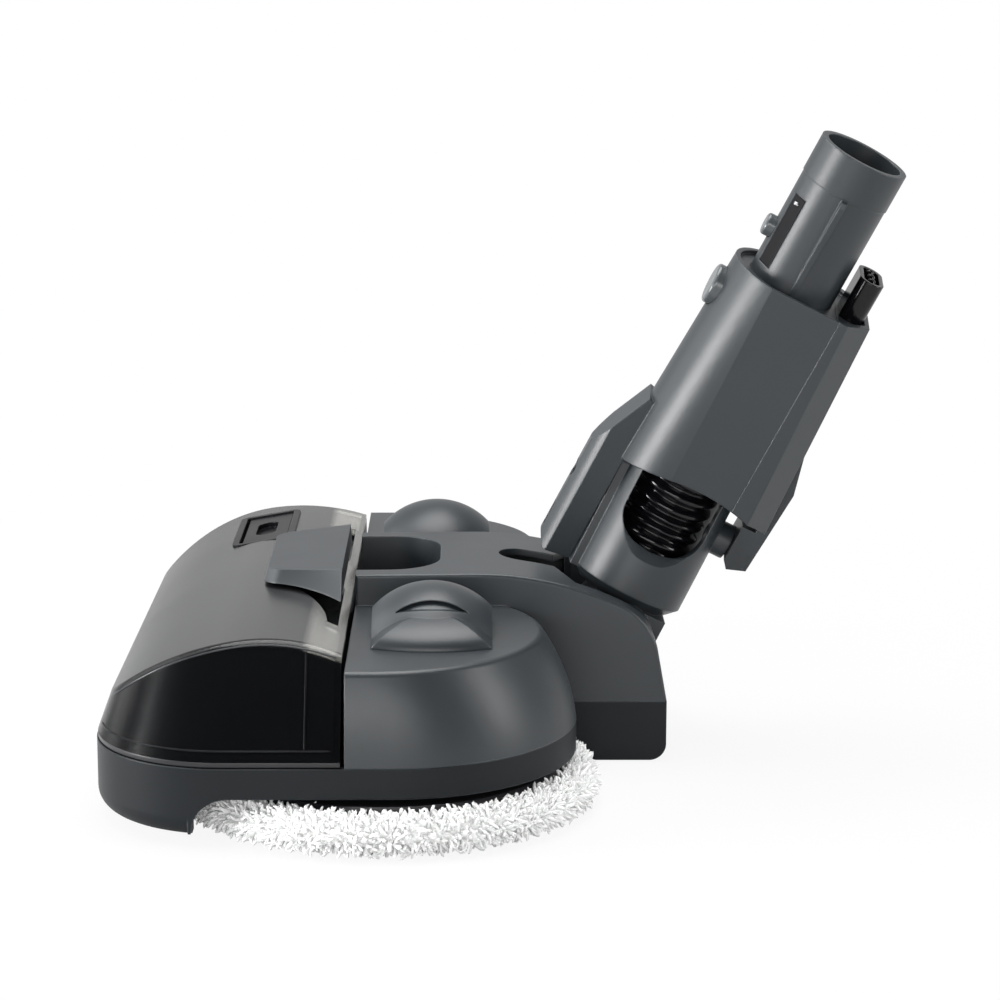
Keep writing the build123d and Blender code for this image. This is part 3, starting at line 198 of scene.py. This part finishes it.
def brushed(name, colour, rough):
    """A bright metal with fine turning marks in its gloss."""
    tree, shader, material = new_material(name)
    place = add_node(tree, "TexCoord").outputs["Object"]
    marks = add_node(tree, "TexNoise", Vector=place, Scale=900.0, Detail=4.0)
    shade = [0.8 * part for part in colour]
    tone = mix_colours(tree, marks.outputs[0], (*colour, 1), (*shade, 1))
    gloss = add_node(tree, "MapRange", Value=marks.outputs[0], To_Min=rough - 0.08, To_Max=rough + 0.08)
    tree.links.new(tone, shader.inputs["Base Color"])
    tree.links.new(gloss.outputs[0], shader.inputs["Roughness"])
    shader.inputs["Metallic"].default_value = 1.0
    return material


steel = brushed("steel", (0.62, 0.63, 0.65), 0.3)
brass = brushed("brass", (0.60, 0.43, 0.20), 0.34)
dress(
    steel,
    "tray_screws", "near_motor", "far_motor", "near_spindle", "far_spindle", "roller_axle",
    "near_trunnion", "far_trunnion", "front_swivel_pin", "rear_swivel_pin", "grip_pin", "lid_pin",
)
dress(brass, "near_bush", "far_bush", "plug_pins")
board_green = moulded("circuit_board", (0.02, 0.10, 0.05), 0.35, edge_highlight=0.0)
dress(board_green, "control_board")


# Mop pads: a white chenille microfibre ring and face on a foam core, hooked to the black plate.
# Each pad is a crowned body with short, soft fingers of pile standing all over its face and rim.
def lay_mesh(name, points, faces):
    """A mesh object from arrays of points and of faces with the same number of corners."""
    mesh = bpy.data.meshes.new(name)
    corners = faces.shape[1]
    mesh.vertices.add(len(points))
    mesh.vertices.foreach_set("co", np.asarray(points, np.float32).ravel())
    mesh.loops.add(faces.size)
    mesh.loops.foreach_set("vertex_index", np.asarray(faces, np.int32).ravel())
    mesh.polygons.add(len(faces))
    mesh.polygons.foreach_set("loop_start", np.arange(0, faces.size, corners, dtype=np.int32))
    mesh.polygons.foreach_set("use_smooth", np.ones(len(faces), bool))
    mesh.update(calc_edges=True)
    mesh.validate()
    made = bpy.data.objects.new(name, mesh)
    bpy.context.scene.collection.objects.link(made)
    return made


def ring_quads(rows, columns):
    """Quads of a grid whose columns close into rings, wound so that rising rows face outwards."""
    row, column = np.meshgrid(np.arange(rows - 1), np.arange(columns), indexing="ij")
    after = (column + 1) % columns
    start, end = row * columns, (row + 1) * columns
    return np.stack([start + column, start + after, end + after, end + column], -1).reshape(-1, 4)


def pile(roots, outward, length, thick, lean_by, draw):
    """Fingers of pile: each is a tapered, rounded five-sided tube that leaves its root along the outward
    direction and bends by its own random lean, computed for all fingers at once."""
    count = len(roots)
    steps = np.array([-0.2, 0.45, 0.85, 1.0])
    girth = np.array([0.8, 1.0, 0.85, 0.0])
    sides = 5
    long = length * draw.uniform(0.65, 1.3, count)
    side = np.cross(outward, draw.normal(size=(count, 3)))
    side /= np.linalg.norm(side, axis=1, keepdims=True)
    across = np.cross(outward, side)
    bend = draw.normal(0, lean_by, (count, 2))
    around = 2 * np.pi * np.arange(sides) / sides
    along = steps[None, :, None] * long[:, None, None]
    sway = (steps[None, :, None] ** 2) * long[:, None, None]
    spine = roots[:, None, :] + along * outward[:, None, :]
    spine = spine + sway * (bend[:, :1, None] * side[:, None, :] + bend[:, 1:, None] * across[:, None, :])
    fat = (thick * draw.uniform(0.75, 1.25, count))[:, None, None, None] * girth[None, :, None, None]
    ring = np.cos(around)[None, None, :, None] * side[:, None, None, :]
    ring = ring + np.sin(around)[None, None, :, None] * across[:, None, None, :]
    points = (spine[:, :, None, :] + fat * ring).reshape(-1, 3)
    one = ring_quads(len(steps), sides)
    quads = (np.arange(count)[:, None, None] * len(steps) * sides + one[None]).reshape(-1, 4)
    return points, quads


def make_microfibre():
    """White chenille: bright, soft, with a little shade down in the pile and fine fibres as bump."""
    tree, shader, material = new_material("microfibre")
    place = add_node(tree, "TexCoord").outputs["Object"]
    fibres = add_node(tree, "TexNoise", Vector=place, Scale=2600.0, Detail=3.0)
    tufts = add_node(tree, "TexNoise", Vector=place, Scale=210.0, Detail=2.0)
    tint = add_node(tree, "MapRange", Value=tufts.outputs[0], From_Min=0.3, From_Max=0.7)
    white = mix_colours(tree, tint.outputs[0], (0.88, 0.885, 0.88, 1), (0.94, 0.945, 0.94, 1))
    bumps = add_node(tree, "Bump", Strength=0.35, Distance=0.0004, Height=fibres.outputs[0])
    tree.links.new(white, shader.inputs["Base Color"])
    tree.links.new(bumps.outputs[0], shader.inputs["Normal"])
    shader.inputs["Roughness"].default_value = 0.95
    shader.inputs["Sheen Weight"].default_value = 0.5
    shader.inputs["Sheen Roughness"].default_value = 0.5
    return material


microfibre = make_microfibre()

# Radii on a pad are in millimetres for a pad of the radius drawn_r, and so is the pile's pitch along a row
drawn_r, pile_pitch = 72.5, 1.05
pile_long, pile_thick, pile_lean = 0.0033, 0.00062, 0.42
scatter, tilt_scatter = 0.0004, 14
face_fingers, face_share, face_level, face_splay = 3600, 0.90, 0.0034, 0.7
pile_low, pile_high = 0.0001, 0.0150


def make_pad(side_name, seed):
    """A pad: a profile of radius and height turned round the spindle. Pile stands on it in rows from the
    plate's edge over the shoulder and round the rim, and in a sunflower over the working face."""
    low, high = (np.array(corner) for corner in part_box(f"{side_name}_mop_pad"))
    centre = (low + high) / 2
    rim = (high[0] - low[0]) / 2
    profile = np.array(
        [
            (0.01, 0.0030), (30.0, 0.0030), (64.0, 0.0030), (67.5, 0.0036), (69.6, 0.0056), (69.8, 0.0076),
            (69.0, 0.0098), (67.0, 0.0112), (64.0, 0.0116), (61.4, 0.0116), (61.2, 0.0090), (0.01, 0.0098),
        ]
    )
    columns = 96
    turn = 2 * np.pi * np.arange(columns) / columns
    radius = profile[:, 0] * rim / drawn_r
    body = np.stack(
        [
            centre[0] + radius[:, None] * np.cos(turn),
            centre[1] + radius[:, None] * np.sin(turn),
            np.repeat(profile[:, 1:], columns, 1),
        ],
        -1,
    ).reshape(-1, 3)
    draw = np.random.default_rng(seed)
    roots, outward = [], []
    # Rows over the shoulder and round the rim: radius, height, tilt of the pile
    rows = np.array(
        [
            (61.9, 0.0110, 88), (63.2, 0.0111, 86), (64.5, 0.0111, 80), (65.8, 0.0110, 70),
            (67.0, 0.0106, 60), (68.0, 0.0099, 48), (68.7, 0.0090, 36), (69.2, 0.0079, 22),
            (69.4, 0.0068, 8), (69.2, 0.0056, -8), (68.4, 0.0045, -26), (67.2, 0.0037, -44),
            (65.6, 0.0034, -60),
        ]
    )
    for reach, height, tilt in rows:
        count = int(2 * np.pi * reach / pile_pitch)
        angle = 2 * np.pi * (np.arange(count) + draw.uniform(-0.4, 0.4, count)) / count + draw.uniform(0, 1)
        level = height + draw.normal(0, scatter, count)
        reach = (reach / drawn_r) * rim + draw.normal(0, scatter, count)
        lift = np.radians(tilt + draw.normal(0, tilt_scatter, count))
        roots.append(
            np.stack([centre[0] + reach * np.cos(angle), centre[1] + reach * np.sin(angle), level], -1)
        )
        outward.append(
            np.stack([np.cos(lift) * np.cos(angle), np.cos(lift) * np.sin(angle), np.sin(lift)], -1)
        )
    # The working face: fingers that lie over at random, each turned by the golden angle from the last
    count = face_fingers
    share = np.sqrt((np.arange(count) + 0.5) / count) * face_share
    angle = np.pi * (3 - np.sqrt(5)) * np.arange(count)
    roots.append(
        np.stack(
            [
                centre[0] + share * rim * np.cos(angle),
                centre[1] + share * rim * np.sin(angle),
                np.full(count, face_level),
            ],
            -1,
        )
    )
    splay = draw.normal(0, face_splay, (count, 2))
    down = np.concatenate([splay, -np.ones((count, 1))], 1)
    outward.append(down / np.linalg.norm(down, axis=1, keepdims=True))
    roots, outward = np.concatenate(roots), np.concatenate(outward)
    pile_points, pile_quads = pile(roots, outward, pile_long, pile_thick, pile_lean, draw)
    pile_points[:, 2] = np.clip(pile_points[:, 2], pile_low, pile_high)
    quads = ring_quads(len(profile), columns)
    points = np.concatenate([body, pile_points])
    pad = lay_mesh(f"{side_name}_pad_pile", points, np.concatenate([quads, pile_quads + len(body)]))
    pad.data.materials.append(microfibre)
    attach(pad, f"{side_name}_disc")
    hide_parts(f"{side_name}_mop_pad")


make_pad("near", 11)
make_pad("far", 23)


# Tank: a smoked, clear ABS shell welded to a dark tub, with a divider and a riser inside.
# The shell's top is painted paler behind the divider, as painted light from inside the rear compartment, and
# the divider shows as a dark band through its top and sides.
# A thin bead runs along the crease of each side, round the window's foot and up the divider.
divider_x = -0.068


def circle_through(first, second, third):
    """The centre and radius of the circle through three points."""
    first, second, third = (np.array(point) for point in (first, second, third))
    halves = [0.5 * (point @ point - first @ first) for point in (second, third)]
    middle = np.linalg.solve(np.stack([second - first, third - first]), halves)
    return middle, np.linalg.norm(first - middle)


# The shell's top is one arc over its brow, crown and rear, in millimetres. It counts as the top from
# skin_in to skin_out under the arc, and the painted light from the rear compartment comes in over the
# next two distances behind the divider. The polish grows from the brow at polish_from to its most at
# polish_full.
arc_mid, arc_reach = circle_through((-133.2, 40.0), (-79.0, 64.0), (-53.4, 59.6))
skin_in, skin_out = 0.0026, 0.0016
inner_light_from, inner_light_full = 0.0015, 0.0045
polish_from, polish_full, polish_most = -0.125, -0.095, 0.5


def make_smoked():
    """Smoked clear plastic: dark glass with faint flow clouds in its gloss. Its top is what lies out at
    the arc's radius; it is polished, most of all on the crown, and painted pale behind the divider as
    painted light from inside."""
    tree, shader, material = new_material("smoked_plastic")
    place = add_node(tree, "TexCoord").outputs["Object"]
    axes = add_node(tree, "SeparateXYZ", Vector=place)
    flow = add_node(tree, "TexNoise", Vector=place, Scale=18.0, Detail=2.0)
    level = add_node(
        tree, "VectorMath", {"operation": "MULTIPLY_ADD"},
        _0=place, _1=(1, 0, 1), _2=(-0.001 * arc_mid[0], 0, -0.001 * arc_mid[1]),
    )
    out = add_node(tree, "VectorMath", {"operation": "LENGTH"}, _0=level.outputs[0])
    top = add_node(
        tree, "MapRange",
        Value=out.outputs["Value"],
        From_Min=0.001 * arc_reach - skin_in,
        From_Max=0.001 * arc_reach - skin_out,
    )
    behind = add_node(
        tree, "MapRange",
        Value=axes.outputs["X"], From_Min=divider_x + inner_light_from, From_Max=divider_x + inner_light_full,
    )
    painted_inner_light = combine(tree, "MULTIPLY", top.outputs[0], behind.outputs[0])
    smoke = mix_colours(tree, flow.outputs[0], (0.026, 0.029, 0.033, 1), (0.036, 0.038, 0.042, 1))
    # Painted light: the top behind the divider is tinted pale for the light inside the rear compartment
    tint = mix_colours(tree, painted_inner_light, smoke, (0.98, 0.965, 0.89, 1))
    crown = add_node(
        tree, "MapRange",
        Value=axes.outputs["X"], From_Min=polish_from, From_Max=polish_full, To_Max=polish_most,
    )
    polish = combine(tree, "MULTIPLY", top.outputs[0], crown.outputs[0])
    gloss = add_node(tree, "MapRange", Value=flow.outputs[0], To_Min=0.19, To_Max=0.27)
    tree.links.new(tint, shader.inputs["Base Color"])
    tree.links.new(gloss.outputs[0], shader.inputs["Roughness"])
    tree.links.new(polish, shader.inputs["Coat Weight"])
    shader.inputs["Transmission Weight"].default_value = 0.91
    shader.inputs["IOR"].default_value = 1.20
    shader.inputs["Coat IOR"].default_value = 1.42
    shader.inputs["Coat Roughness"].default_value = 0.22
    return material


smoked_plastic = make_smoked()
lid_black = moulded("lid_black", (0.006, 0.006, 0.007), 0.30, edge_highlight=0.2, specular=0.08)
dress(smoked_plastic, "tank_shell")
dress(black_plastic, "tank_tub", "tank_divider", "inlet_riser", "outlet_seal")
dress(lid_black, "filler_frame", "filler_lid")
dress(slate_plastic, "tank_grip", "grip_lugs")

# The shell's outline in millimetres: its half width, its front and the radius of its front corners at the
# foot, and how far each draws in over the height lean_high
shell_foot, lean_high = 28.8, 42.0
foot_half, half_in = 132.6, 27.0
foot_front, front_in = -136.6, 15.0
foot_corner, corner_in = 45.0, 12.0


def top_height(x):
    """Heights over x on the top's arc."""
    return arc_mid[1] + np.sqrt(np.maximum(arc_reach**2 - (x - arc_mid[0]) ** 2, 0.0))


def shell_side(x, z):
    """Half width of the shell at a place and height: a straight side with a round front corner."""
    share = (z - shell_foot) / lean_high
    half = foot_half - half_in * share
    corner = foot_corner - corner_in * share
    ahead = np.maximum(foot_front + front_in * share + corner - x, 0.0)
    return half - corner + np.sqrt(np.maximum(corner**2 - ahead**2, 0.0))


def sweep(name, path, radius, sides=8):
    """A round bar along a path: at each point a circle square to the path, of one radius or a radius for
    each point, closed by its two end points."""
    path = np.asarray(path, float)
    along = np.gradient(path, axis=0)
    along /= np.linalg.norm(along, axis=1, keepdims=True)
    side = np.cross(along, (0.0, 1.0, 0.0))
    side /= np.linalg.norm(side, axis=1, keepdims=True)
    up = np.cross(side, along)
    turn = 2 * np.pi * np.arange(sides) / sides
    girth = np.broadcast_to(radius, len(path)).copy()
    girth[[0, -1]] = 0.0
    ring = np.cos(turn)[None, :, None] * up[:, None, :] + np.sin(turn)[None, :, None] * side[:, None, :]
    points = path[:, None, :] + girth[:, None, None] * ring
    return lay_mesh(name, points.reshape(-1, 3), ring_quads(len(path), sides))


bead_plastic = moulded("bead_plastic", (0.02, 0.022, 0.025), 0.25, edge_highlight=0.0, bump=0.0)
bead_r = 0.00035
crease_drop, foot_level, divider_back = 1.6, 32.0, 3.0
crease_x = np.linspace(-131.0, -55.0, 70)
foot_x = np.linspace(-135.0, -56.0, 70)
divider_z = np.linspace(foot_level, 61.0, 24)
bead_lines = {
    "crease": (crease_x, top_height(crease_x) - crease_drop),
    "foot": (foot_x, np.full_like(foot_x, foot_level)),
    "divider": (np.full_like(divider_z, 1000 * divider_x + divider_back), divider_z),
}
for side_name, side in (("near", -1), ("far", 1)):
    for line_name, (x, z) in bead_lines.items():
        path = 0.001 * np.stack([x, side * shell_side(x, z), z], -1)
        bead = sweep(f"{side_name}_{line_name}_bead", path, bead_r)
        bead.data.materials.append(bead_plastic if line_name == "crease" else lid_black)
        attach(bead, "tank")


# Neck: knuckle, housing and rear cover in the body's slate plastic, with the spigot tube and its catch.
# The plug tower is polished black, and the button and the catch are glossy discs in round holes, in slate
# plastic painted lighter as painted light on their faces.
glossy_black = moulded("glossy_black", (0.004, 0.004, 0.005), 0.12, edge_highlight=0.0, bump=0.0, specular=0.3)
# Painted light: the button's slate is coloured about three times lighter for the light that catches its face
lit_button_plastic = moulded("lit_button_plastic", (0.07, 0.078, 0.083), 0.24, edge_highlight=0.3, specular=0.6)
dress(slate_plastic, "knuckle", "neck_housing", "neck_rear_cover", "spigot_tube")
dress(lit_button_plastic, "release_button", "wand_catch")
dress(black_plastic, "hose_adapter")
dress(lid_black, "contact_strip")
dress(glossy_black, "plug_housing")

# The knuckle leans back from upright, and the upper neck swings to the near side about the swivel pins
lean, swing = math.radians(26.5), math.radians(11.0)
up_knuckle = np.array((math.sin(lean), 0.0, math.cos(lean)))
to_rear = np.array((math.cos(lean), 0.0, -math.sin(lean)))
to_near = np.array((0.0, -1.0, 0.0))
up_neck = up_knuckle * math.cos(swing) + to_near * math.sin(swing)
pitch_at = np.array((0.0405, 0.0, 0.041))
swivel_high = 0.047
swivel_at = pitch_at + swivel_high * up_knuckle
tube_x = -0.0027
plug_x = 0.0206


def on_neck(x, y, z):
    """A point given rearward, to the far side and up the upper neck from the swivel axis."""
    return swivel_at + x * to_rear + y * np.cross(up_neck, to_rear) + z * up_neck


def bar_between(name, start, end, radius, material):
    """A round bar on the neck with domed ends, eased in by a quarter circle at each end."""
    turn = np.linspace(0, np.pi / 2, 6)
    length = np.linalg.norm(end - start)
    cap = radius * (1 - np.cos(turn)) / length
    share = np.concatenate([cap, 1 - cap[::-1]])
    girth = radius * np.concatenate([np.sin(turn), np.sin(turn)[::-1]])
    made = sweep(name, start + share[:, None] * (end - start), girth)
    made.data.materials.append(material)
    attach(made, "upper_neck")


# Three contact posts in the plug, and a contact ball at the top of the strip
post_gap, post_foot, post_high, post_r = 0.0056, 0.1025, 0.0105, 0.0017
strip_r, strip_turn = 0.0155, math.radians(211.0)
ball_z, ball_half, ball_r = 0.1252, 0.0007, 0.0012
for number, across in enumerate((-post_gap, 0.0, post_gap), 1):
    foot = on_neck(plug_x, across, post_foot)
    tip = foot + post_high * up_neck
    bar_between(f"plug_post_{number}", foot, tip, post_r, glossy_black)
ball_at = on_neck(tube_x + strip_r * math.cos(strip_turn), strip_r * math.sin(strip_turn), ball_z)
ball_reach = ball_half * up_neck
bar_between("contact_ball", ball_at - ball_reach, ball_at + ball_reach, ball_r, steel)


# Hose: a blow-moulded bellows of soft black rubber, clamped on the knuckle's ledge and on the adapter.
# It runs straight up the knuckle, bends through the angle of the neck's swing and runs straight on to the
# adapter.
hose_from, hose_to, bend_reach, ribs, rib_steps = 0.0175, 0.037, 0.006, 12, 12
valley_r, crest_high, bore_r = 0.0134, 0.0022, 0.0121


def hose_surface():
    """Rings along the hose's line, with a radius that swells to a round crest once in every rib."""
    bend_r = bend_reach / math.tan(swing / 2)
    lower = swivel_high - bend_reach - hose_from
    length = lower + bend_r * swing + hose_to - bend_reach
    along = np.linspace(0, length, ribs * rib_steps + 3)
    turn = np.clip((along - lower) / bend_r, 0, swing)
    risen = hose_from + np.minimum(along, lower) + bend_r * np.sin(turn)
    after = np.maximum(along - lower - bend_r * swing, 0)
    line = pitch_at + tube_x * to_rear + risen[:, None] * up_knuckle
    line = line + (bend_r * (1 - np.cos(turn)))[:, None] * to_near + after[:, None] * up_neck
    ahead = np.cos(turn)[:, None] * up_knuckle + np.sin(turn)[:, None] * to_near
    swell = 0.5 - 0.5 * np.cos(2 * np.pi * (along / length * (ribs + 0.25) - 0.125))
    radius = valley_r + crest_high * swell**0.6
    columns = 72
    around = 2 * np.pi * np.arange(columns) / columns
    across = np.cross(ahead, to_rear)
    ring = np.cos(around)[None, :, None] * to_rear + np.sin(around)[None, :, None] * across[:, None, :]
    points = line[:, None, :] + radius[:, None, None] * ring
    # The wall turns in at both ends and goes back down inside as a plain tube
    inside = line[::-1, None, :] + bore_r * ring[::-1]
    rows = np.concatenate([points, inside, points[:1]])
    return rows.reshape(-1, 3), ring_quads(len(rows), columns)


hose = lay_mesh("ribbed_hose", *hose_surface())
hose_black = moulded("hose_black", (0.003, 0.003, 0.004), 0.13, edge_highlight=0.0, bump=0.0, specular=0.4)
hose.data.materials.append(hose_black)
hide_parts("flex_hose")
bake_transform(hose)


# Studio: a white floor that fades into the white room, with large soft lamps above and on three sides.
# The camera stands a metre off the near side, a little above the head.
floor_half = 20.0


def seen_straight(tree):
    """A Light Path node, and a mask of the rays that come from the camera or through glass."""
    rays = add_node(tree, "LightPath")
    return rays, combine(tree, "MAXIMUM", rays.outputs["Is Camera Ray"], rays.outputs["Is Transmission Ray"])


floor_mesh = lay_mesh(
    "floor",
    floor_half * np.array([(-1, -1, 0), (1, -1, 0), (1, 1, 0), (-1, 1, 0)], float),
    np.array([[0, 1, 2, 3]]),
)
tree, shader, floor_material = new_material("white_floor")
shader.inputs["Base Color"].default_value = (0.60, 0.60, 0.60, 1)
shader.inputs["Roughness"].default_value = 0.9
shader.inputs["Specular IOR Level"].default_value = 0.0
place = add_node(tree, "TexCoord").outputs["Object"]
away = add_node(tree, "VectorMath", {"operation": "LENGTH"}, _0=place).outputs["Value"]
rays, straight = seen_straight(tree)
# The floor is shaded close round the object, and in gloss it stays darker for longer
plain = add_node(tree, "MapRange", Value=away, From_Min=0.15, From_Max=0.45, To_Min=0.9, To_Max=1.0)
mirrored = add_node(tree, "MapRange", Value=away, From_Min=0.25, From_Max=0.9, To_Min=0.2, To_Max=0.9)
plain = combine(tree, "MULTIPLY", plain.outputs[0], straight)
mirrored = combine(tree, "MULTIPLY", mirrored.outputs[0], rays.outputs["Is Glossy Ray"])
shown = combine(tree, "MAXIMUM", plain, mirrored)
glow = add_node(tree, "Emission", Color=(1, 1, 1, 1), Strength=1.0)
mixed = add_node(tree, "MixShader", _0=shown, _1=shader.outputs[0], _2=glow.outputs[0])
tree.links.new(mixed.outputs[0], tree.nodes["Material Output"].inputs["Surface"])
floor_mesh.data.materials.append(floor_material)

# The room is bright behind the object only; straight to the camera and through glass it is plain white
room_back = 0.75
world = bpy.data.worlds.new("studio")
bpy.context.scene.world = world
world.use_nodes = True
tree = world.node_tree
toward = add_node(tree, "SeparateXYZ", Vector=add_node(tree, "TexCoord").outputs["Generated"])
behind = add_node(tree, "MapRange", Value=toward.outputs["Y"], To_Max=room_back)
strength = add_node(
    tree, "Mix", {"data_type": "FLOAT"}, _0=seen_straight(tree)[1], _2=behind.outputs[0], _3=1.0
)
tree.links.new(strength.outputs[0], tree.nodes["Background"].inputs["Strength"])
tree.nodes["Background"].inputs["Color"].default_value = (1, 1, 1, 1)


def softbox(name, at, aim, size, power):
    """A rectangular area lamp at a point, turned to face another."""
    lamp = bpy.data.lights.new(name, "AREA")
    lamp.shape = "RECTANGLE"
    lamp.size, lamp.size_y = size
    lamp.energy = power
    made = bpy.data.objects.new(name, lamp)
    made.location = at
    away = np.array(at) - np.array(aim)
    made.rotation_euler = (
        math.atan2(math.hypot(away[0], away[1]), away[2]),
        0.0,
        math.atan2(away[0], -away[1]),
    )
    bpy.context.scene.collection.objects.link(made)


softbox("overhead", (-0.05, 0.1, 1.2), (0, 0, 0.05), (0.9, 0.9), 17)
softbox("left", (-1.4, -0.35, 0.34), (0, 0, 0.1), (0.5, 0.6), 27)
softbox("left_high", (-0.9, 0.1, 0.9), (0, 0, 0.1), (0.6, 0.9), 4)
softbox("left_back", (-1.2, 0.6, 0.6), (0, 0, 0.1), (0.6, 0.9), 3)
softbox("front", (-0.2, -1.6, 0.35), (0, 0, 0.0), (1.4, 0.4), 12)
softbox("right", (1.3, -0.4, 0.5), (0, 0, 0.1), (0.4, 0.9), 9)

eye_at = (-0.0115, -1.0093, 0.2936)
look_down = math.radians(11.5)
camera_data = bpy.data.cameras.new("camera")
camera_data.lens = 101.99
camera_data.sensor_width = 36.0
camera_data.shift_x = 0.03
camera = bpy.data.objects.new("camera", camera_data)
camera.location = eye_at
camera.rotation_euler = (math.pi / 2 - look_down, 0, 0)
bpy.context.scene.collection.objects.link(camera)
bpy.context.scene.camera = camera
bpy.context.scene.view_settings.view_transform = "Standard"
